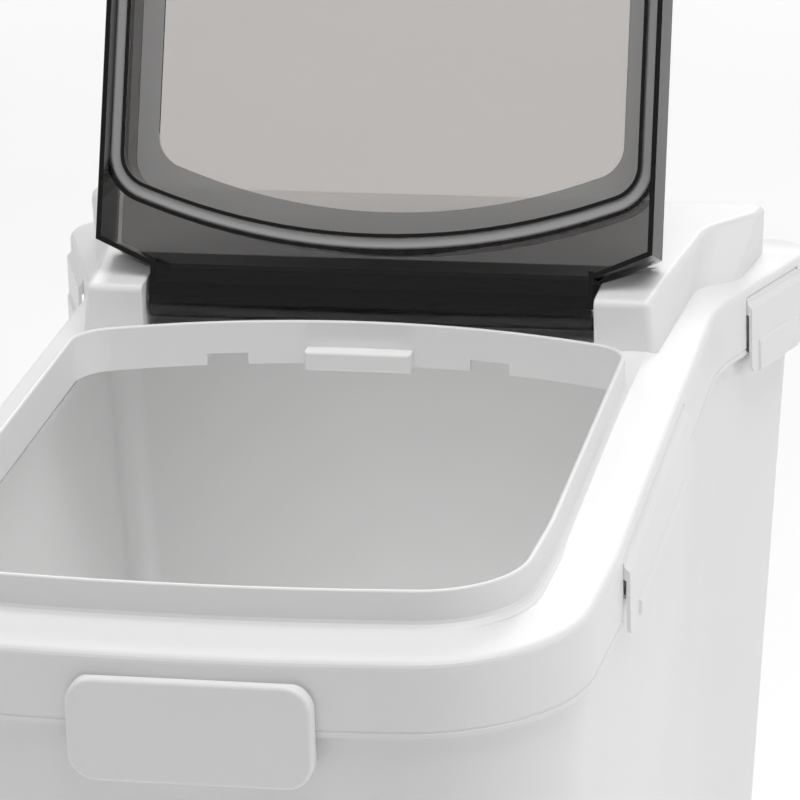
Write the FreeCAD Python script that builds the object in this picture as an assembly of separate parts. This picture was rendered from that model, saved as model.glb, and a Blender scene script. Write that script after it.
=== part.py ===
"""Wheeled food bin: tapered tub, clip-on top frame, smoked hinged lid, five snap clips, two wheels.

Millimetres. +X is the bin's right-hand side seen from behind its front, +Y runs from front to back,
+Z is up, and Z = 0 is the floor. The lid is stored open, resting on the stop of the top frame.
"""
import FreeCAD, Part
import math
import os

V = FreeCAD.Vector

# ---------------------------------------------------------------- driving sizes
crease_z = 400.0            # height of the frame's outer crease, where flange turns into skirt
skirt_bottom_z = 373.0      # lower edge of the frame's skirt
flange_top_z = 405.5        # flange height at the foot of the raised rim
rim_top_z = 418.2           # top of the raised rim round the mouth
lip_bottom_z = 400.5        # lower edge of the lip inside the mouth
plateau_top_z = 426.0       # raised rear part of the frame
crease_round = 3.2          # rounding between flange and skirt
crease_steps = 4
shell = 2.4                 # moulded wall thickness of the frame
rim_wall = 2.0              # wall of the raised rim
front_y = -240.9            # apex of the frame's front
rear_y = 244.9              # rear edge of the frame
half_width = 131.3          # frame half width along the straight sides
rear_half_width = 167.0     # frame half width at the rear corners

tub_top_z = 386.0           # top edge of the tub
tub_bottom_z = 16.0         # underside of the tub floor
tub_wall = 2.6
seal_height = 2.6           # gasket between tub ledge and frame rib

hinge_y = 89.1              # lid axis
hinge_z = 416.6
lid_open_deg = 112.0        # angle from closed to the stop
lid_top_z = 441.6           # top face of the closed lid
lid_plate = 2.4
lid_skirt_bottom_z = 409.6
lid_half_width = 112.5
lid_skirt_wall = 2.0
tab_half_width = 89.5       # hinge tab between the two frame blocks
barrel_r = 7.0
rod_r = 2.0
running_gap = 0.06          # radial clearance of every running fit
recess_half_width = 91.0    # half distance between the frame's two hinge blocks
corner_y = hinge_y - 23.0   # closed lid: start of the chamfer on its side walls
chamfer_y = hinge_y - 13.0  # closed lid: where the chamfer meets the hinge tab
lid_corner_relief_r = 14.7  # lid walls beside the hinge tab are hollowed to this radius round the lid axis
pocket_rear_y = 120.4       # wall behind the open lid, its stop
pocket_half_width = 112.6
pocket_drop = 1.7           # clearance under the open lid's chamfered corners
stop_gap = 0.6              # clearance behind the open lid's corners, at the stop
tab_panel = 4.0             # thickness of the flat panel between the hinge barrel and the lid's plate
rim_round = 0.9             # rounding on both sides of the rim's top
plateau_round = 3.0         # rounding round the top of the raised rear part
pocket_round = 0.8
bead_height = 1.6           # plain edge under the groove that runs round the skirt
bead_depth = 0.35

wheel_r = 21.0
wheel_w = 16.0
wheel_x = 81.0
axle_r = 3.0
axle_y = 193.0
side_pin_r = 1.0
front_pin_r = 0.8


# ---------------------------------------------------------------- outlines
# Right half of each outline, front to back: (x, y, corner radius). x = 0 entries sit on the mid plane.
CREASE = [(0.0, front_y, 800.0), (half_width - 5.0, -232.3, 62.0), (half_width, -129.0, 300.0),
          (half_width, 147.5, 80.0), (rear_half_width, rear_y, 18.0)]
SLOPE_TOP = [(0.0, front_y + 20.4, 800.0), (105.0, -212.2, 40.0), (110.5, -129.0, 300.0),
             (112.5, 147.5, 60.0), (145.0, rear_y - 20.0, 12.0)]
RIM = [(0.0, -218.9, 800.0), (104.6, -209.9, 36.0), (108.0, -144.0, 300.0),
       (108.0, 42.2, 17.0), (0.0, 81.1, 272.0)]
WINDOW = [(0.0, -203.4, 800.0), (92.5, -195.4, 22.0), (95.5, -144.0, 200.0),
          (95.5, 30.2, 14.0), (0.0, 64.6, 235.0)]
PLATEAU_BASE = [(116.5, 76.7, 3.5), (119.5, 156.0, 30.0), (136.5, 181.0, 28.0), (145.0, 228.0, 16.0)]
PLATEAU_TOP = [(113.5, 76.7, 3.5), (124.5, 178.0, 22.0), (142.5, 200.0, 6.0), (145.0, 211.0, 5.0)]
TUB_TOP = [(0.0, front_y + 3.0, 800.0), (half_width - 7.9, -229.4, 59.0), (half_width - 2.9, -129.0, 300.0),
           (half_width - 2.9, 147.5, 80.0), (rear_half_width - 9.0, rear_y - 2.9, 16.0)]
TUB_BOTTOM = [(0.0, front_y + 22.4, 800.0), (106.0, -211.0, 46.0), (110.0, -129.0, 300.0),
              (110.0, 140.0, 80.0), (rear_half_width - 37.0, rear_y - 21.9, 12.0)]


def mirrored(half):
    left = [(-x, y, r) for x, y, r in reversed(half) if x > 0.0]
    return half + left


def shifted(points, d):
    """Offset a counter-clockwise polygon outwards by d and adapt its corner radii."""
    n = len(points)
    lines = []
    for i in range(n):
        ax, ay, _ = points[i]
        bx, by, _ = points[(i + 1) % n]
        length = math.hypot(bx - ax, by - ay)
        ux, uy = (bx - ax) / length, (by - ay) / length
        lines.append((ax + uy * d, ay - ux * d, ux, uy))
    out = []
    for i in range(n):
        px, py, ux, uy = lines[i - 1]
        qx, qy, vx, vy = lines[i]
        cross = ux * vy - uy * vx
        t = ((qx - px) * vy - (qy - py) * vx) / cross
        r = points[i][2] + (d if cross > 0.0 else -d)
        out.append((px + ux * t, py + uy * t, max(r, 0.4)))
    return out


def wire(half, z, d=0.0):
    """Closed wire of straight edges and tangent corner arcs at height z."""
    pts = shifted(mirrored(half), d)
    n = len(pts)
    ends = []
    for i in range(n):
        px, py, r = pts[i]
        ax, ay, _ = pts[i - 1]
        bx, by, _ = pts[(i + 1) % n]
        la = math.hypot(ax - px, ay - py)
        lb = math.hypot(bx - px, by - py)
        ua = ((ax - px) / la, (ay - py) / la)
        ub = ((bx - px) / lb, (by - py) / lb)
        dot = ua[0] * ub[0] + ua[1] * ub[1]
        turn = math.pi - math.acos(max(-1.0, min(1.0, dot)))
        t = r * math.tan(turn / 2.0)
        sx, sy = ua[0] + ub[0], ua[1] + ub[1]
        s = math.hypot(sx, sy)
        reach = r / math.cos(turn / 2.0) - r
        start = V(px + ua[0] * t, py + ua[1] * t, z)
        mid = V(px + sx / s * reach, py + sy / s * reach, z)
        end = V(px + ub[0] * t, py + ub[1] * t, z)
        ends.append((start, mid, end))
    edges = []
    for i in range(n):
        start, mid, end = ends[i]
        edges.append(Part.Arc(start, mid, end).toShape())
        edges.append(Part.makeLine(end, ends[(i + 1) % n][0]))
    return Part.Wire(edges)


def loft(sections):
    return Part.makeLoft(sections, True, True)


def prism(half, z0, z1, d=0.0):
    face = Part.Face(wire(half, z0, d))
    return face.extrude(V(0, 0, z1 - z0))


def ring(half, z0, z1, outer, inner):
    return prism(half, z0, z1, outer).cut(prism(half, z0 - 1.0, z1 + 1.0, inner))


def box(x0, x1, y0, y1, z0, z1):
    return Part.makeBox(x1 - x0, y1 - y0, z1 - z0, V(x0, y0, z0))


def mirror(shape):
    return shape.mirror(V(0, 0, 0), V(1, 0, 0))


def bar_x(y, z, r, x0, x1):
    return Part.makeCylinder(r, x1 - x0, V(x0, y, z), V(1, 0, 0))


def profile_x(points, x0, x1):
    """Prism along X from a closed (y, z) polygon."""
    pts = [V(x0, y, z) for y, z in points]
    face = Part.Face(Part.makePolygon(pts + [pts[0]]))
    return face.extrude(V(x1 - x0, 0, 0))


def one(shape):
    """Single clean solid: the largest lump of the shape."""
    clean = shape.removeSplitter()
    solids = sorted(clean.Solids, key=lambda s: s.Volume)
    return solids[-1]


def soften(shape, radius, picked):
    """Round every edge that picked() accepts."""
    return shape.makeFillet(radius, [e for e in shape.Edges if picked(e)])


def level(edge, z, tol=0.05):
    b = edge.BoundBox
    return abs(b.ZMin - z) < tol and abs(b.ZMax - z) < tol


# ---------------------------------------------------------------- clip placement
# Local clip frame: u along the clip, n outwards from the skirt face, z up.
flare = math.atan2(rear_half_width - half_width, rear_y - 147.5)
rear_clip_s = 49.0
front_clip_len = 166.0
rear_clip_len = 46.0
side_clip_y = -43.0
# Station: x, y, turn, clip length, inset of the finger grip from its ends, lower edge, top of the grip.
SIDE_FRONT = (half_width, side_clip_y, 0.0, front_clip_len, 22.0, 368.0, 374.0)
SIDE_REAR = (half_width + rear_clip_s * math.sin(flare), 147.5 + rear_clip_s * math.cos(flare),
             -math.degrees(flare), rear_clip_len, 6.0, 364.4, 378.0)
clip_pivot_n = -4.1
clip_pivot_z = 394.6
clip_barrel_r = 4.5
clip_face_n = 2.4           # the clip's face stands this far out from the skirt
clip_plate = 1.4
clip_grip_n = 3.6
clip_hook_n = -3.3          # tip of the hook, behind the catch's tip
clip_hook_top = 3.9         # hook and catch heights count from the clip's lower edge
catch_tip_n = -2.6
clip_side_gap = 0.5
front_face_y = front_y + 1.86
front_pivot_n = 3.0
front_pivot_z = 390.8
front_tab_half = 42.7
front_tab_bottom_z = 355.7
front_tab_back = 0.3
front_tab_face = 5.9


def placed(shape, where):
    """Move a clip built along Y at the origin (n = +X) to its station on the right-hand side."""
    x, y, turn = where[0], where[1], where[2]
    moved = shape.copy()
    moved.rotate(V(0, 0, 0), V(0, 0, 1), turn)
    moved.translate(V(x, y, 0))
    return moved


def section_y(points, y0, y1):
    """Prism along Y from a closed (n, z) polygon."""
    pts = [V(n, y0, z) for n, z in points]
    face = Part.Face(Part.makePolygon(pts + [pts[0]]))
    return face.extrude(V(0, y1 - y0, 0))


def bar_y(n, z, r, y0, y1):
    return Part.makeCylinder(r, y1 - y0, V(n, y0, z), V(0, 1, 0))


def side_clip(where):
    length, inset, bottom, ledge = where[3:]
    h = length / 2.0
    face, inner, grip_n = clip_face_n, clip_face_n - clip_plate, clip_grip_n
    body = section_y([(inner, bottom), (face, bottom), (face, clip_pivot_z - 2.0),
                      (-0.2, clip_pivot_z + 0.6), (-2.0, clip_pivot_z + 0.6), (-2.0, clip_pivot_z - 3.6),
                      (inner, clip_pivot_z - 5.1)], -h, h)
    body = soften(body, 5.0, lambda e: level_corner(e, bottom))
    body = body.fuse(bar_y(clip_pivot_n, clip_pivot_z, clip_barrel_r, -h, h))
    grip = section_y([(inner + 0.2, ledge), (face, ledge), (grip_n, ledge - 1.2), (grip_n, bottom + 1.1),
                      (grip_n - 1.1, bottom), (inner + 0.2, bottom)], -h + inset, h - inset)
    hook_len = 0.3 * length
    hook = section_y([(inner + 0.2, bottom + 0.6), (clip_hook_n, bottom + 1.1),
                      (clip_hook_n, bottom + clip_hook_top), (inner + 0.2, bottom + clip_hook_top)],
                     -hook_len, hook_len)
    body = body.fuse(grip).fuse(hook)
    body = body.cut(bar_y(clip_pivot_n, clip_pivot_z, side_pin_r + running_gap, -h - 1.0, h + 1.0))
    body = one(body)
    return soften(body, 0.8, lambda e: abs(e.BoundBox.XMin - grip_n) < 0.01
                  and abs(e.BoundBox.XMax - grip_n) < 0.01)


def level_corner(edge, z):
    """Edges that run outwards along n at the lower corners of a clip plate."""
    b = edge.BoundBox
    return abs(b.ZMin - z) < 0.01 and abs(b.ZMax - z) < 0.01 and b.YLength < 0.01 and b.XLength > 1.0


def side_clip_cut(length):
    h = length / 2.0 + clip_side_gap
    cut = section_y([(-2.9, 350.0), (6.0, 350.0), (6.0, clip_pivot_z), (-2.9, clip_pivot_z)], -h, h)
    return cut.fuse(bar_y(clip_pivot_n, clip_pivot_z, clip_barrel_r + 0.6, -h, h))


def side_clip_cheeks(length):
    h = length / 2.0 + clip_side_gap
    lump = section_y([(-8.4, 389.8), (-1.0, 389.8), (-1.0, 398.9), (-8.4, 398.9)], h, h + 6.0)
    other = section_y([(-8.4, 389.8), (-1.0, 389.8), (-1.0, 398.9), (-8.4, 398.9)], -h - 6.0, -h)
    return lump.fuse(other)


def side_pin(length, r):
    h = length / 2.0 + clip_side_gap + 5.0
    return bar_y(clip_pivot_n, clip_pivot_z, r, -h, h)


def side_catch(where):
    """Ledge on the tub that the clip's hook sits under."""
    h = 0.36 * where[3]
    z = where[5] + clip_hook_top
    root = catch_tip_n - 2.9
    ledge = [(root, z + 0.8), (catch_tip_n, z + 1.6), (catch_tip_n, z + 3.0), (root, z + 4.6)]
    return section_y(ledge, -h, h)


def front_clip():
    top = front_pivot_z + (front_tab_face - front_tab_back) / 2.0
    body = box(-front_tab_half, front_tab_half, -front_tab_face, -front_tab_back, front_tab_bottom_z, top)
    body = soften(body, 10.0, lambda e: e.BoundBox.YLength > 2.0)
    body = soften(body, 1.8, lambda e: abs(e.BoundBox.YMin + front_tab_face) < 0.01
                  and abs(e.BoundBox.YMax + front_tab_face) < 0.01)
    body = body.cut(front_relief(top))
    hook = profile_x([(-0.5, 356.6), (3.0, 357.6), (3.4, 359.9), (-0.5, 359.9)], -15.0, 15.0)
    body = body.fuse(hook)
    for side in (-1.0, 1.0):
        x0, x1 = sorted((side * 23.6, side * 30.4))
        body = body.cut(bar_x(-front_pivot_n, front_pivot_z, 2.05, x0, x1))
        body = body.cut(box(x0, x1, -front_pivot_n, 1.0, 383.5, 391.8))
    body = body.cut(bar_x(-front_pivot_n, front_pivot_z, front_pin_r + running_gap, -33.2, 33.2))
    body = one(body)
    body.translate(V(0, front_face_y, 0))
    return body


def front_relief(top):
    """Slanted cut along the tab's upper back edge, so that it clears the skirt while it turns."""
    b = -front_tab_back
    return profile_x([(b + 1.0, top - 2.2), (b, top - 2.2), (b - 0.7, top - 0.7), (b - 2.2, top),
                      (b - 2.2, top + 1.0), (b + 1.0, top + 1.0)], -60.0, 60.0)


def front_ears():
    ears = None
    for side in (-1.0, 1.0):
        x0, x1 = sorted((side * 24.0, side * 30.0))
        web = profile_x([(1.85, 387.65), (-2.15, 391.65), (-3.85, 389.95), (0.15, 385.95)], x0, x1)
        ear = bar_x(-front_pivot_n, front_pivot_z, 1.7, x0, x1).fuse(web)
        ears = ear if ears is None else ears.fuse(ear)
    ears.translate(V(0, front_face_y, 0))
    return ears


def front_pin(r, half_len):
    pin = bar_x(-front_pivot_n, front_pivot_z, r, -half_len, half_len)
    pin.translate(V(0, front_face_y, 0))
    return pin


def front_catch():
    lump = profile_x([(6.6, 360.3), (1.6, 361.0), (1.6, 362.6), (6.6, 366.4)], -21.0, 21.0)
    lump.translate(V(0, front_face_y, 0))
    return lump


# ---------------------------------------------------------------- tub
def tub_section(z):
    t = (z - tub_bottom_z) / (tub_top_z - tub_bottom_z)
    out = []
    for a, b in zip(TUB_BOTTOM, TUB_TOP):
        out.append(tuple(p + (q - p) * t for p, q in zip(a, b)))
    return out


recess = (-95.6, 95.6, 166.0, 219.0, 47.0)      # wheel recess under the tub: x0, x1, y0, y1, roof


def build_tub():
    outer = loft([wire(tub_section(tub_bottom_z), tub_bottom_z), wire(tub_section(tub_top_z), tub_top_z)])
    outer = soften(outer, 7.0, lambda e: level(e, tub_bottom_z))
    floor_z = tub_bottom_z + 3.0
    inner = loft([wire(tub_section(floor_z), floor_z, -tub_wall), wire(tub_section(tub_top_z - 2.5),
                  tub_top_z - 2.5, -tub_wall)])
    mouth = prism(TUB_TOP, tub_top_z - 3.0, tub_top_z + 1.0, -10.1)
    x0, x1, y0, y1, roof = recess
    step = box(x0 - 2.6, x1 + 2.6, y0 - 2.6, 300.0, 0.0, roof + 2.6)
    inner = soften(inner, 6.0, lambda e: level(e, floor_z)).cut(step)
    tub = outer.cut(inner).cut(mouth)
    tub = tub.cut(box(x0, x1, y0, y1, 0.0, roof))
    for x in (-92.3, -67.2, 67.2, 92.3):
        ear = box(x - 2.5, x + 2.5, axle_y - 9.0, axle_y + 9.0, axle_z() - 6.0, roof + 1.0)
        ear = soften(ear, 5.5, lambda e: level(e, axle_z() - 6.0) and e.BoundBox.XLength > 4.0)
        tub = tub.fuse(ear)
    tub = tub.cut(bar_x(axle_y, axle_z(), axle_r, -95.0, 95.0))
    for side in (-1.0, 1.0):
        foot = V(side * foot_x, foot_y, foot_pad_h)
        post = Part.makeCylinder(foot_post_r, tub_bottom_z + 2.0 - foot_pad_h, foot)
        post = soften(post, 1.5, lambda e: level(e, foot_pad_h))
        post = post.cut(Part.makeCylinder(foot_stem_r, 7.0, foot))
        tub = tub.fuse(post)
    for where in (SIDE_FRONT, SIDE_REAR):
        catch = placed(side_catch(where), where)
        tub = tub.fuse(catch).fuse(mirror(catch))
    tub = tub.fuse(front_catch())
    return one(tub)


foot_x = 72.0
foot_y = -172.0
foot_post_r = 15.0
foot_pad_r = 13.0
foot_pad_h = 5.5
foot_stem_r = 5.0           # the pad's stem fills the post's bore


def axle_z():
    return wheel_r


def foot_pad(side):
    pad = Part.makeCylinder(foot_pad_r, foot_pad_h, V(side * foot_x, foot_y, 0.0))
    pad = soften(pad, 1.5, lambda e: level(e, 0.0))
    stem = Part.makeCylinder(foot_stem_r, foot_pad_h + 6.0, V(side * foot_x, foot_y, 0.5))
    return one(pad.fuse(stem))


# ---------------------------------------------------------------- top frame
def pocket(extra):
    """Hollow of the frame that the lid's hinge tab and lower corners stand in when the lid is open."""
    e = extra
    w, r = recess_half_width + e, pocket_rear_y + e
    centre = box(-w, w, 70.0, r, flange_top_z - e, 440.0)
    d, w, t = pocket_drop + e, pocket_half_width + e, tab_half_width
    z0, z1 = lid_skirt_bottom_z - 3.0, lid_top_z + stop_gap + e
    pts = [V(-w, 20.0, z0), V(w, 20.0, z0), V(w, corner_y + d, z0), V(t, chamfer_y + d, z0),
           V(-t, chamfer_y + d, z0), V(-w, corner_y + d, z0)]
    corners = Part.Face(Part.makePolygon(pts + [pts[0]])).extrude(V(0, 0, z1 - z0))
    return centre, opened(corners)


def rear_notches():
    cut = None
    for x in (-52.5, 52.5):
        notch = box(x - 8.0, x + 8.0, 50.0, 72.0, lip_bottom_z - 1.0, lip_bottom_z + 4.7)
        cut = notch if cut is None else cut.fuse(notch)
    return cut


def rounded_slab():
    """Skirt and sloping flange in one loft; the crease between them is a stepped round."""
    slope = math.atan2(flange_top_z - crease_z, SLOPE_TOP[0][1] - front_y)
    turn = math.pi / 2.0 - slope
    reach = crease_round * math.tan(turn / 2.0)
    z = skirt_bottom_z + bead_height
    sections = [wire(CREASE, skirt_bottom_z), wire(CREASE, z), wire(CREASE, z + 0.3, -bead_depth),
                wire(CREASE, z + 0.9, -bead_depth), wire(CREASE, z + 1.2)]
    for i in range(crease_steps + 1):
        a = turn * i / crease_steps
        d = crease_round * (math.cos(a) - 1.0)
        z = crease_z - reach + crease_round * math.sin(a)
        sections.append(wire(CREASE, z, d))
    sections.append(wire(SLOPE_TOP, flange_top_z))
    return loft(sections)


def rounded_rim():
    rim = ring(RIM, lip_bottom_z, rim_top_z, rim_wall, 0.0)
    return soften(rim, rim_round, lambda e: level(e, rim_top_z))


def rim_foot():
    """Hollow round where the rim rises from the flange."""
    steps = ((-1.0, 3.0), (-0.2, 1.6), (0.7, 0.6), (1.9, 0.0))
    outer = loft([wire(RIM, flange_top_z + dz, rim_wall + d) for dz, d in steps])
    return outer.cut(prism(RIM, flange_top_z - 3.0, flange_top_z + 4.0, rim_wall / 2.0))


def build_frame():
    slab = rounded_slab()
    rise = loft([wire(PLATEAU_BASE, 401.0), wire(PLATEAU_TOP, plateau_top_z)])
    rise = soften(rise, plateau_round, lambda e: level(e, plateau_top_z))
    centre, sides = pocket(0.0)
    rise = rise.cut(centre)
    rise = soften(rise, pocket_round, lambda e: level(e, plateau_top_z) and e.BoundBox.YMin < pocket_rear_y + 0.6)
    rise = rise.cut(sides)

    hollow = loft([wire(CREASE, skirt_bottom_z - 1.0, -shell), wire(CREASE, crease_z - shell, -shell)])
    hollow = hollow.fuse(loft([wire(CREASE, crease_z - shell, -shell),
                               wire(SLOPE_TOP, flange_top_z - shell, -shell)]))
    centre_in, sides_in = pocket(shell)
    chamber = loft([wire(PLATEAU_BASE, 401.0, -shell), wire(PLATEAU_TOP, plateau_top_z - shell, -shell)])
    chamber = chamber.cut(centre_in).cut(sides_in)
    frame = slab.fuse(rise).cut(hollow).cut(chamber)

    frame = frame.fuse(rounded_rim()).fuse(rim_foot())
    frame = frame.cut(prism(RIM, lip_bottom_z - 5.0, rim_top_z + 2.0, 0.0))
    rib = ring(CREASE, tub_top_z + seal_height, 401.5, -9.6, -12.0)
    frame = frame.fuse(rib)
    frame = frame.cut(rear_notches())

    for side in (-1.0, 1.0):
        x0, x1 = sorted((side * recess_half_width, side * 101.5))
        frame = frame.fuse(bar_x(hinge_y, hinge_z, 5.4, x0, x1))
        x0, x1 = sorted((side * (recess_half_width + shell), side * 101.5))
        frame = frame.fuse(box(x0, x1, hinge_y - 2.0, hinge_y + 2.0, 409.0, hinge_z))
        x0, x1 = sorted((side * (recess_half_width - 1.0), side * 100.5))
        frame = frame.cut(bar_x(hinge_y, hinge_z, rod_r, x0, x1))

    for where in (SIDE_FRONT, SIDE_REAR):
        length = where[3]
        cheeks = placed(side_clip_cheeks(length), where)
        cut = placed(side_clip_cut(length), where)
        hole = placed(side_pin(length, side_pin_r), where)
        frame = frame.fuse(cheeks).fuse(mirror(cheeks))
        frame = frame.cut(cut).cut(mirror(cut)).cut(hole).cut(mirror(hole))
    frame = frame.fuse(front_ears()).cut(front_pin(front_pin_r, 31.0))
    return one(frame)


# ---------------------------------------------------------------- lid, built closed
def opened(shape):
    moved = shape.copy()
    moved.rotate(V(0, hinge_y, hinge_z), V(1, 0, 0), -lid_open_deg)
    return moved




def lid_plan(z0, z1, d):
    """Closed-lid outline: the rim's outline carried 4.5 mm out, straight sides, chamfered rear corners."""
    front = prism(RIM, z0, z1, 4.5 - d).common(box(-200.0, 200.0, -300.0, 0.0, z0, z1))
    w = lid_half_width - d
    t = tab_half_width - d
    k = d * 0.664
    pts = [V(-w, -0.5, z0), V(w, -0.5, z0), V(w, corner_y - k, z0), V(t, chamfer_y - k, z0),
           V(-t, chamfer_y - k, z0), V(-w, corner_y - k, z0)]
    rear = Part.Face(Part.makePolygon(pts + [pts[0]])).extrude(V(0, 0, z1 - z0))
    return front.fuse(rear).removeSplitter()


def tab_profile(inset):
    """(y, z) points of the hinge tab between the plate and the barrel, front edge inside the plate."""
    ax, az = chamfer_y, lid_top_z
    cx, cz = hinge_y, hinge_z
    reach = math.hypot(cx - ax, cz - az)
    angle = math.atan2(cz - az, cx - ax) + math.asin(barrel_r / reach)
    run = math.sqrt(reach * reach - barrel_r * barrel_r)
    ty, tz = ax + run * math.cos(angle), az + run * math.sin(angle)
    ny, nz = math.sin(angle), -math.cos(angle)
    return (ax + ny * inset, az + nz * inset), (ty + ny * inset, tz + nz * inset)


def build_lid_frame():
    plate = lid_plan(lid_top_z - lid_plate, lid_top_z, 0.0)
    walls = lid_plan(lid_skirt_bottom_z, lid_top_z, 0.0)
    hollow = lid_plan(lid_skirt_bottom_z - 1.0, lid_top_z + 1.0, lid_skirt_wall)
    walls = walls.cut(hollow)
    walls = walls.cut(box(-tab_half_width + lid_skirt_wall, tab_half_width - lid_skirt_wall,
                          chamfer_y - 4.0, chamfer_y + 4.0, lid_skirt_bottom_z - 1.0, lid_top_z - lid_plate))
    lid = plate.fuse(walls)
    lid = one(lid)
    lid = soften(lid, 1.5, lambda e: level(e, lid_top_z))

    a, t = tab_profile(0.0)
    b, s = tab_profile(lid_plate)
    slant = profile_x([a, t, s, b], -tab_half_width, tab_half_width)
    cheek = [(chamfer_y - 3.0, lid_top_z - 1.0), a, t, (hinge_y + 5.0, hinge_z), (hinge_y, lid_skirt_bottom_z),
             (chamfer_y - 3.0, lid_skirt_bottom_z)]
    lid = lid.fuse(slant)
    lid = lid.fuse(profile_x(cheek, tab_half_width - lid_skirt_wall, tab_half_width))
    lid = lid.fuse(profile_x(cheek, -tab_half_width, -tab_half_width + lid_skirt_wall))
    lid = lid.fuse(bar_x(hinge_y, hinge_z, barrel_r, -tab_half_width, tab_half_width))
    lid = lid.fuse(box(-tab_half_width, tab_half_width, chamfer_y - 1.0, hinge_y, lid_skirt_bottom_z,
                       lid_skirt_bottom_z + tab_panel))

    ridge_z = 417.0
    roof_z = seal_top_z
    under = lid_top_z - lid_plate + 0.2
    lid = lid.fuse(ring(RIM, ridge_z, under, -2.25, -3.75))
    lid = lid.fuse(ring(RIM, ridge_z, under, 4.0, 2.5))
    lid = lid.fuse(ring(RIM, roof_z, roof_z + 1.8, 3.0, -3.0))
    lid = lid.cut(prism(WINDOW, lid_top_z - 5.0, lid_top_z + 1.0, 0.0))
    lip = box(-30.0, 30.0, -228.5, -216.0, 410.0, 412.4)
    lip = soften(lip, 7.0, lambda e: e.BoundBox.ZLength > 2.0 and e.BoundBox.YMax < -220.0)
    lid = lid.fuse(lip.cut(prism(RIM, 400.0, 420.0, 3.5)))
    lid = lid.cut(bar_x(hinge_y, hinge_z, rod_r + running_gap, -95.0, 95.0))
    for side in (-1.0, 1.0):
        x0, x1 = sorted((side * tab_half_width, side * (lid_half_width + 1.0)))
        lid = lid.cut(bar_x(hinge_y, hinge_z, lid_corner_relief_r, x0, x1))
    return one(lid)


seal_bottom_z = 418.6
seal_top_z = 423.4


def build_lid_seal():
    seal = ring(RIM, seal_bottom_z, seal_top_z, 2.5, -2.25)
    return one(soften(seal, 1.4, lambda e: level(e, seal_bottom_z)))


def build_window():
    pane = prism(WINDOW, lid_top_z - 2.2, lid_top_z - 0.2, 0.0)
    return one(pane)


# ---------------------------------------------------------------- small parts
def build_bracket():
    """Small hanger on the rear lip inside the mouth."""
    lip_line = prism(RIM, 390.0, 420.0, 0.0)
    body = box(-21.2, 21.2, 57.0, 66.0, 399.6, 407.4)
    body = soften(body, 1.2, lambda e: e.BoundBox.YMax < 57.1)
    slot = box(-19.4, 19.4, 58.6, 66.1, 399.0, 405.8)
    body = body.cut(slot).common(lip_line)
    return one(body)


def build_gasket():
    return one(ring(CREASE, tub_top_z, tub_top_z + seal_height, -9.2, -12.4))


def wheel(side):
    x0 = side * wheel_x - wheel_w / 2.0
    hub = bar_x(axle_y, wheel_r, wheel_r - 3.5, x0, x0 + wheel_w)
    for a, b in ((x0 - 1.0, x0 + 3.5), (x0 + wheel_w - 3.5, x0 + wheel_w + 1.0)):
        dish = bar_x(axle_y, wheel_r, wheel_r - 6.0, a, b).cut(bar_x(axle_y, wheel_r, 6.0, a, b))
        hub = hub.cut(dish)
    hub = hub.cut(bar_x(axle_y, wheel_r, axle_r + 0.1, x0 - 1.0, x0 + wheel_w + 1.0))
    return one(hub)


def tyre(side):
    x0 = side * wheel_x - wheel_w / 2.0
    tread = bar_x(axle_y, wheel_r, wheel_r, x0, x0 + wheel_w)
    tread = soften(tread, 2.0, lambda e: e.BoundBox.XLength < 0.01)
    return one(tread.cut(bar_x(axle_y, wheel_r, wheel_r - 3.5, x0 - 1.0, x0 + wheel_w + 1.0)))


def main():
    os.makedirs("parts", exist_ok=True)
    nodes = {}
    nodes["bin_body"] = build_tub()
    nodes["top_frame"] = build_frame()
    nodes["frame_seal"] = build_gasket()
    nodes["scoop_bracket"] = build_bracket()
    nodes["hinge_rod"] = bar_x(hinge_y, hinge_z, rod_r, -100.4, 100.4)
    nodes["rear_axle"] = bar_x(axle_y, axle_z(), axle_r, -95.0, 95.0)
    nodes["foot_pad_left"] = foot_pad(-1.0)
    nodes["foot_pad_right"] = foot_pad(1.0)
    nodes["lid_frame"] = opened(build_lid_frame())
    nodes["lid_window"] = opened(build_window())
    nodes["lid_seal"] = opened(build_lid_seal())
    for tag, where in (("front", SIDE_FRONT), ("rear", SIDE_REAR)):
        clip = placed(side_clip(where), where)
        pin = placed(side_pin(where[3], side_pin_r), where)
        nodes["clip_right_" + tag] = clip
        nodes["clip_left_" + tag] = mirror(clip)
        nodes["clip_pin_right_" + tag] = pin
        nodes["clip_pin_left_" + tag] = mirror(pin)
    nodes["clip_front"] = front_clip()
    nodes["clip_pin_front"] = front_pin(front_pin_r, 31.0)
    for side, tag in ((-1.0, "left"), (1.0, "right")):
        nodes["wheel_hub_" + tag] = wheel(side)
        nodes["wheel_tyre_" + tag] = tyre(side)
    for name, shape in nodes.items():
        b = shape.BoundBox
        print(name, shape.isValid(), len(shape.Solids), round(shape.Volume / 1000.0, 2),
              "x %.1f %.1f y %.1f %.1f z %.1f %.1f" % (b.XMin, b.XMax, b.YMin, b.YMax, b.ZMin, b.ZMax))
        shape.exportStep("parts/" + name + ".step")


main()
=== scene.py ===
"""Looks of the wheeled food bin: white moulded tub and frame, smoked lid standing open, soft studio light."""
import bpy
import math
from mathutils import Matrix, Vector


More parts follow.
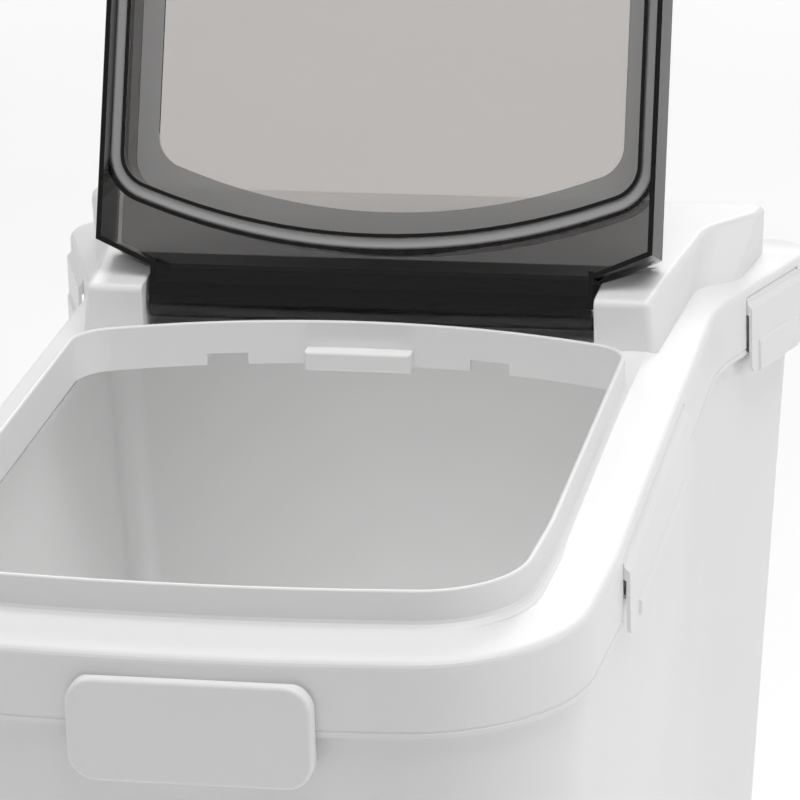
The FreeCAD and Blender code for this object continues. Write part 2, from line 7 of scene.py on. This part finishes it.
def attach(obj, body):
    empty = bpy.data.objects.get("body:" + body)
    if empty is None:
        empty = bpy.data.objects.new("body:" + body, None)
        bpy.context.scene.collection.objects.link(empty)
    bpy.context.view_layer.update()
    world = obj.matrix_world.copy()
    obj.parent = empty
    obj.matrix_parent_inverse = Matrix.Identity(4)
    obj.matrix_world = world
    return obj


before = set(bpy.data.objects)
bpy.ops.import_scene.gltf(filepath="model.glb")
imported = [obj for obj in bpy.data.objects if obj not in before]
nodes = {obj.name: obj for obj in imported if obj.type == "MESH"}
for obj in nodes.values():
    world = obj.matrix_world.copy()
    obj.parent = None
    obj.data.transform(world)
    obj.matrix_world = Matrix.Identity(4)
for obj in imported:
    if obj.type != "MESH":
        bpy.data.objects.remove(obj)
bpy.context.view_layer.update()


# ---------------------------------------------------------------- camera
def place_camera():
    azimuth, elevation, roll = math.radians(11.13), math.radians(19.409), math.radians(-1.665)
    back = Vector((math.sin(azimuth) * math.cos(elevation), -math.cos(azimuth) * math.cos(elevation),
                   math.sin(elevation)))
    right = Vector((math.cos(azimuth), math.sin(azimuth), 0.0))
    up = back.cross(right)
    c, s = math.cos(roll), math.sin(roll)
    right, up = right * c + up * s, up * c - right * s
    data = bpy.data.cameras.new("camera")
    data.lens = 215.68
    data.sensor_width = 36.0
    data.clip_end = 20.0
    camera = bpy.data.objects.new("camera", data)
    bpy.context.scene.collection.objects.link(camera)
    turn = Matrix((right, up, back)).transposed().to_4x4()
    camera.matrix_world = Matrix.Translation((0.35986, -1.68735, 1.01513)) @ turn
    bpy.context.scene.camera = camera


place_camera()


# ---------------------------------------------------------------- materials
def start(name, color, rough, **extra):
    """A Principled material; extra keywords are its other sockets, with _ for a space."""
    mat = bpy.data.materials.new(name)
    mat.use_nodes = True
    shader = mat.node_tree.nodes["Principled BSDF"]
    shader.inputs["Base Color"].default_value = (*color, 1.0)
    shader.inputs["Roughness"].default_value = rough
    for key, value in extra.items():
        shader.inputs[key.replace("_", " ")].default_value = value
    return mat, shader


def node(mat, kind, **settings):
    new = mat.node_tree.nodes.new(kind)
    for key, value in settings.items():
        setattr(new, key, value)
    return new


def noise(mat, scale, detail, stretch=(1.0, 1.0, 1.0)):
    """3-D noise in metres: scale is repeats per metre."""
    links = mat.node_tree.links
    place = node(mat, "ShaderNodeTexCoord")
    size = node(mat, "ShaderNodeMapping")
    size.inputs["Scale"].default_value = stretch
    tex = node(mat, "ShaderNodeTexNoise")
    tex.inputs["Scale"].default_value = scale
    tex.inputs["Detail"].default_value = detail
    links.new(place.outputs["Object"], size.inputs["Vector"])
    links.new(size.outputs["Vector"], tex.inputs["Vector"])
    return tex.outputs["Fac"]


def spread(mat, value, low, high):
    """Carry a 0.3 to 0.7 noise value onto low to high."""
    fit = node(mat, "ShaderNodeMapRange")
    fit.inputs["From Min"].default_value = 0.3
    fit.inputs["From Max"].default_value = 0.7
    fit.inputs["To Min"].default_value = low
    fit.inputs["To Max"].default_value = high
    mat.node_tree.links.new(value, fit.inputs["Value"])
    return fit.outputs["Result"]


def tint(mat, shader, value, dark, light):
    mix = node(mat, "ShaderNodeMix", data_type="RGBA")
    mix.inputs[6].default_value = (*dark, 1.0)
    mix.inputs[7].default_value = (*light, 1.0)
    mat.node_tree.links.new(value, mix.inputs[0])
    mat.node_tree.links.new(mix.outputs[2], shader.inputs["Base Color"])


def relief(mat, shader, layers):
    """Bump from (value, depth in metres) layers."""
    last = None
    for value, depth in layers:
        bump = node(mat, "ShaderNodeBump")
        bump.inputs["Distance"].default_value = depth
        bump.inputs["Strength"].default_value = 1.0
        mat.node_tree.links.new(value, bump.inputs["Height"])
        if last is not None:
            mat.node_tree.links.new(last, bump.inputs["Normal"])
        last = bump.outputs["Normal"]
    mat.node_tree.links.new(last, shader.inputs["Normal"])


def moulded(name, color, rough, grain, depth, **extra):
    """Moulded plastic or rubber: fine die texture, slow sink marks, uneven gloss, a trace of colour change."""
    mat, shader = start(name, color, rough, **extra)
    slow = noise(mat, 9.0, 2.0)
    fine = noise(mat, grain, 4.0)
    tint(mat, shader, spread(mat, slow, 0.0, 1.0), [v * 0.975 for v in color], color)
    mat.node_tree.links.new(spread(mat, fine, rough - 0.05, rough + 0.06), shader.inputs["Roughness"])
    relief(mat, shader, [(slow, 0.0006), (fine, depth)])
    return mat


def smoked(name, rough, absorb):
    """Clear plastic tinted through its thickness; absorb is the loss per metre in red, green and blue."""
    mat, shader = start(name, (1.0, 1.0, 1.0), rough, Transmission_Weight=1.0, IOR=1.49)
    fine = noise(mat, 700.0, 3.0)
    mat.node_tree.links.new(spread(mat, fine, rough, rough + 0.05), shader.inputs["Roughness"])
    relief(mat, shader, [(noise(mat, 14.0, 1.0), 0.0003)])
    density = max(absorb)
    inside = node(mat, "ShaderNodeVolumeAbsorption")
    inside.inputs["Density"].default_value = density
    inside.inputs["Color"].default_value = (*[1.0 - v / density for v in absorb], 1.0)
    out = mat.node_tree.nodes["Material Output"]
    mat.node_tree.links.new(inside.outputs["Volume"], out.inputs["Volume"])
    return mat


white = moulded("white_pp", (0.87, 0.87, 0.868), 0.36, 1400.0, 0.00002, IOR=1.49)
smoke = smoked("smoke", 0.06, (515.0, 525.0, 530.0))
pane = smoked("pane", 0.0, (300.0, 322.0, 333.0))
silicone = moulded("silicone", (0.50, 0.50, 0.50), 0.45, 900.0, 0.00001)
frost = moulded("frost", (0.32, 0.318, 0.316), 0.5, 2200.0, 0.00003, Alpha=0.5)
side_frost = moulded("side_frost", (0.15, 0.148, 0.146), 0.55, 2200.0, 0.00003, Alpha=0.85)
steel, steel_shader = start("steel", (0.62, 0.62, 0.63), 0.3, Metallic=1.0)
relief(steel, steel_shader, [(noise(steel, 1500.0, 2.0, (0.05, 1.0, 1.0)), 0.00001)])
rubber = moulded("rubber", (0.12, 0.12, 0.125), 0.6, 900.0, 0.00004)
hub_grey = moulded("hub_grey", (0.45, 0.45, 0.46), 0.42, 1200.0, 0.00002)



def material_for(name):
    """Material of a CAD solid, by its name; what isn't listed is white."""
    if name == "lid_frame":
        return smoke
    if name == "lid_window":
        return pane
    if name == "lid_seal":
        return silicone
    if "pin" in name or name in ("hinge_rod", "rear_axle"):
        return steel
    if "tyre" in name or "pad" in name:
        return rubber
    if "hub" in name:
        return hub_grey
    return white


for name, obj in nodes.items():
    obj.data.materials.clear()
    obj.data.materials.append(material_for(name))


# ---------------------------------------------------------------- lid: textured areas
# Right half of the outlines of the mouth's rim and the lid's window, front to back: x, y, radius in mm.
RIM = [(0.0, -218.9, 800.0), (104.6, -209.9, 36.0), (108.0, -144.0, 300.0), (108.0, 42.2, 17.0),
       (0.0, 81.1, 272.0)]
WINDOW = [(0.0, -203.4, 800.0), (92.5, -195.4, 22.0), (95.5, -144.0, 200.0), (95.5, 30.2, 14.0),
          (0.0, 64.6, 235.0)]
HINGE = (89.1, 416.6)             # lid axis: y, z
LID_OPEN = math.radians(-112.0)   # from closed to the stop, as the part stands at rest
LID_UNDER = 439.2                 # underside of the closed lid's plate
LID_MARGIN = 4.5                  # the lid's side and front walls stand this far outside the rim
LID_HALF_WIDTH = 112.5
SKIRT_HEIGHTS = (409.7, 425.0, 440.2)
CHAMFER_FRONT_Y = 66.0            # where the side walls end in the rear chamfers
TAB_HALF_WIDTH = 88.0             # the straight rear wall beside the hinge tab starts here
REAR_WALL_Y = 75.8                # inner face of the rear wall
CHAMFER_SLOPE = 10.0 / 23.0       # y over x of the chamfered walls
CHAMFER_SETBACK = 1.6             # the chamfered walls' inner face, in front of the line of their outside
CORNER_HALF_WIDTH = 110.2         # inner face of the side walls
SEAL_RIDGE_IN = -3.8              # just inside the inner ridge of the seal channel
SEAL_RIDGE_OUT = 4.05             # just outside its outer ridge
NARROWEST = 0.4                   # the corner skin stops where it gets this thin
SKIN_UNDER = 0.05                 # skins under the plate lie this far off it
SKIN_SIDE = 0.06                  # and this far off the skirt
ARC_STEPS = 14


def outline(half, d):
    """Closed loop of (x, y) points, d outside the mirrored outline, ARC_STEPS + 1 on each corner arc."""
    points = [(-x, y, r) for x, y, r in reversed(half) if x > 0.0]
    points = half + points
    n = len(points)
    lines = []
    for i in range(n):
        a, b = Vector(points[i][:2]), Vector(points[(i + 1) % n][:2])
        along = (b - a).normalized()
        lines.append((a + Vector((along.y, -along.x)) * d, along))
    loop = []
    for i in range(n):
        (p, u), (q, v) = lines[i - 1], lines[i]
        cross = u.x * v.y - u.y * v.x
        corner = p + u * (((q.x - p.x) * v.y - (q.y - p.y) * v.x) / cross)
        radius = max(points[i][2] + (d if cross > 0.0 else -d), 0.4)
        turn = math.acos(max(-1.0, min(1.0, u.dot(v))))
        reach = radius * math.tan(turn / 2.0)
        centre = corner - u * reach + Vector((-u.y, u.x)) * math.copysign(radius, cross)
        arm = corner - u * reach - centre
        for k in range(ARC_STEPS + 1):
            a = math.copysign(turn * k / ARC_STEPS, cross)
            loop.append((centre.x + arm.x * math.cos(a) - arm.y * math.sin(a),
                         centre.y + arm.x * math.sin(a) + arm.y * math.cos(a)))
    return loop


def on_lid(x, y, z):
    """Closed-lid millimetres to metres on the open lid."""
    dy, dz = y - HINGE[0], z - HINGE[1]
    return (x / 1000.0, (HINGE[0] + dy * math.cos(LID_OPEN) - dz * math.sin(LID_OPEN)) / 1000.0,
            (HINGE[1] + dy * math.sin(LID_OPEN) + dz * math.cos(LID_OPEN)) / 1000.0)


def strip(name, rows, mat, body, closed=True):
    """Skin over rows of points; each row has as many points as the next."""
    n = len(rows[0])
    mesh = bpy.data.meshes.new(name)
    faces = []
    for j in range(len(rows) - 1):
        for i in range(n if closed else n - 1):
            k = (i + 1) % n
            faces.append((j * n + i, j * n + k, (j + 1) * n + k, (j + 1) * n + i))
    mesh.from_pydata([p for row in rows for p in row], [], faces)
    mesh.validate()
    for face in mesh.polygons:
        face.use_smooth = True
    mesh.materials.append(mat)
    obj = bpy.data.objects.new(name, mesh)
    bpy.context.scene.collection.objects.link(obj)
    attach(obj, body)
    return obj


def border_skin():
    """Ring between the window and the seal channel."""
    z = LID_UNDER - SKIN_UNDER
    window = [on_lid(x, y, z) for x, y in outline(WINDOW, 0.1)]
    channel = [on_lid(x, y, z) for x, y in outline(RIM, SEAL_RIDGE_IN)]
    strip("lid_border_texture", [window, channel], frost, "lid")


def rear_wall(x):
    """Where the area behind the seal channel ends, at x."""
    if abs(x) < TAB_HALF_WIDTH:
        return REAR_WALL_Y
    return REAR_WALL_Y - (abs(x) - TAB_HALF_WIDTH) * CHAMFER_SLOPE - CHAMFER_SETBACK


def corner_skin():
    """The area between the seal channel and the rear walls, across the lid from left to right."""
    z = LID_UNDER - SKIN_UNDER
    ridge = sorted((x, y) for x, y in outline(RIM, SEAL_RIDGE_OUT) if y > 40.0)
    ridge = [(x, y) for x, y in ridge if abs(x) <= CORNER_HALF_WIDTH and rear_wall(x) - y >= NARROWEST]
    front = [on_lid(x, y, z) for x, y in ridge]
    rear = [on_lid(x, rear_wall(x), z) for x, y in ridge]
    strip("lid_corner_texture", [front, rear], frost, "lid", closed=False)


def skirt_skin():
    """Outside of the skirt, from the left chamfer round the front to the right chamfer."""
    front = [p for p in outline(RIM, LID_MARGIN + SKIN_SIDE) if p[1] < 0.0]
    right_part = 3 * (ARC_STEPS + 1)
    side = LID_HALF_WIDTH + SKIN_SIDE
    wall = [(-side, CHAMFER_FRONT_Y)] + front[right_part:] + front[:right_part] + [(side, CHAMFER_FRONT_Y)]
    rows = [[on_lid(x, y, height) for x, y in wall] for height in SKIRT_HEIGHTS]
    strip("lid_skirt_texture", rows, side_frost, "lid", closed=False)


border_skin()
corner_skin()
skirt_skin()


# ---------------------------------------------------------------- stage
def area_light(name, location, target, size, energy):
    data = bpy.data.lights.new(name, "AREA")
    data.shape = "RECTANGLE"
    data.size = size[0]
    data.size_y = size[1]
    data.energy = energy
    obj = bpy.data.objects.new(name, data)
    obj.location = location
    obj.rotation_euler = (Vector(target) - Vector(location)).to_track_quat("-Z", "Y").to_euler()
    obj.visible_camera = False
    bpy.context.scene.collection.objects.link(obj)
    return obj


def build_floor():
    mesh = bpy.data.meshes.new("floor")
    r = 8.0
    mesh.from_pydata([(-r, -r, 0.0), (r, -r, 0.0), (r, r, 0.0), (-r, r, 0.0)], [], [(0, 1, 2, 3)])
    obj = bpy.data.objects.new("floor", mesh)
    bpy.context.scene.collection.objects.link(obj)
    mat, shader = start("floor", (0.96, 0.96, 0.96), 0.95)
    tint(mat, shader, spread(mat, noise(mat, 3.0, 2.0), 0.0, 1.0), (0.95, 0.95, 0.95), (0.97, 0.97, 0.97))
    mesh.materials.append(mat)


build_floor()
area_light("key", (0.5, -0.35, 2.3), (0.0, 0.0, 0.38), (1.5, 1.5), 21.0)
area_light("side", (1.9, 0.1, 0.8), (0.0, 0.1, 0.3), (1.0, 0.8), 4.5)
area_light("left", (-1.3, -0.1, 2.0), (-0.1, 0.0, 0.38), (1.2, 1.2), 8.0)
area_light("back", (-0.3, 4.2, 3.2), (0.0, 2.2, 0.0), (3.0, 3.0), 105.0)
# Thin white walls let light into the tub; a small lamp under the front wall stands for it.
area_light("through_walls", (0.0, -0.10, 0.07), (0.0, 0.2, 0.30), (0.16, 0.10), 0.27)
world = bpy.data.worlds.new("world")
world.use_nodes = True
world.node_tree.nodes["Background"].inputs["Color"].default_value = (1.0, 1.0, 1.0, 1.0)
world.node_tree.nodes["Background"].inputs["Strength"].default_value = 0.36
bpy.context.scene.world = world
bpy.context.scene.view_settings.view_transform = "Standard"
